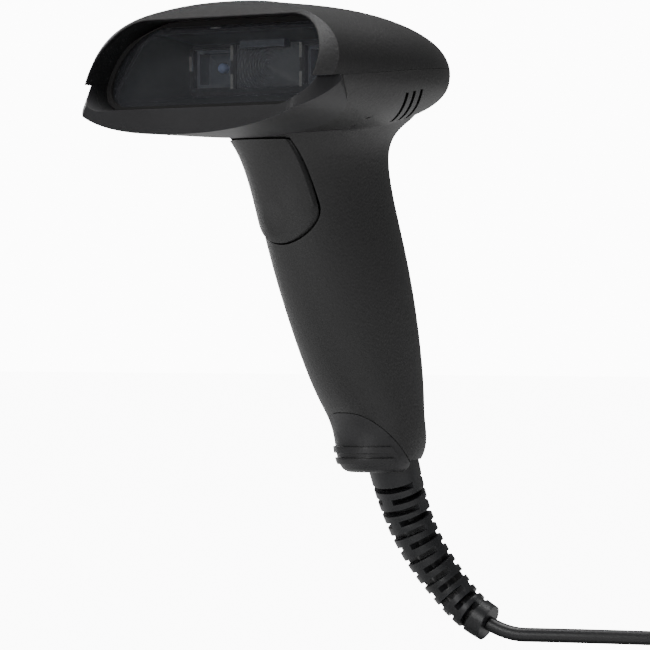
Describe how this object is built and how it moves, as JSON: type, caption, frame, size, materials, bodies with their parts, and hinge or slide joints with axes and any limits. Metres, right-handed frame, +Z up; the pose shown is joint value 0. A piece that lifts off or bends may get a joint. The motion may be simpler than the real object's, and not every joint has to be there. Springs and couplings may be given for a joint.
{
  "type": "handheld barcode scanner",
  "caption": "Pistol-shaped handheld barcode scanner with a wide slanted scan window, hinged trigger, ribbed strain relief and a corded plug.",
  "frame": {"origin": "middle of the grip, on the handle's axis, where a hand or a cradle holds it", "axes": "+Z up with the head level, the scan window faces -Y, +X is to the right seen from in front facing the window's back, i.e. the object's own left side"},
  "size_m": [0.1704, 0.2067, 0.1897],
  "materials": {
    "case_black": "fine matt moulded grain",
    "bumper_rubber": "soft satin rubber",
    "window": "clear polished pane",
    "seal_foam": "matt foam",
    "optic_black": "semi-gloss black moulding",
    "lens_clear": "polished lens",
    "reflector": "satin grey",
    "lamp": "clear lamp resin",
    "board_green": "lacquered circuit board",
    "chip_black": "matt resin",
    "steel": "bright",
    "plated": "nickel plate",
    "ribbon": "amber film",
    "clear_plug": "clear moulding",
    "relief_rubber": "satin rubber",
    "cord_sheath": "smooth vinyl sheath",
    "tie": "matt strap",
    "tongue": "white insulator"
  },
  "bodies": {
    "root": {"top_cover": "case_black", "main_housing": "case_black", "front_bumper": "bumper_rubber", "end_cap": "bumper_rubber", "window_seal": "seal_foam", "window_pane": "window", "optical_chassis": "optic_black", "chassis_screws": "steel", "collector_lens": "lens_clear", "lens_hood": "reflector", "lamp_reflectors": "reflector", "illumination_lamps": "lamp", "lamp_board": "board_green", "lens_clips": "plated", "lens_barrel": "optic_black", "objective_lens": "lens_clear", "line_sensor": "chip_black", "sensor_board": "board_green", "main_board": "board_green", "main_chips": "chip_black", "board_screws": "steel", "beeper": "chip_black", "ribbon": "ribbon", "handle_board": "board_green", "handle_chips": "chip_black", "switch_body": "chip_black", "cable_socket": "optic_black", "modular_plug": "clear_plug", "trigger_pin": "steel", "trigger_spring": "steel", "inner_lead": "cord_sheath", "strain_relief": "relief_rubber", "cord": "cord_sheath", "cord_coil": "cord_sheath", "cord_tail": "cord_sheath", "coil_tie": "tie", "plug_grip": "cord_sheath", "plug_shell": "plated", "plug_tongue": "tongue"},
    "trigger": {"trigger": "case_black"},
    "plunger": {"switch_plunger": "reflector"}
  },
  "joints": [
    {"name": "trigger_hinge", "type": "hinge", "parent": "root", "child": "trigger", "pos_m": [0, -0.029, 0.042], "axis": [1, 0, 0], "range_deg": [0, 4.5], "stiffness_Nm_per_rad": 0.3, "springref_deg": -5.73, "deforming": ["trigger_spring"]},
    {"name": "switch_travel", "type": "slide", "parent": "root", "child": "plunger", "axis": [0, 0.9379, 0.3469], "range_m": [0, 0.0012]}
  ],
  "couplings": [
    {"joint": "switch_travel", "follows": "trigger_hinge", "m_per_rad": 0.0109}
  ]
}
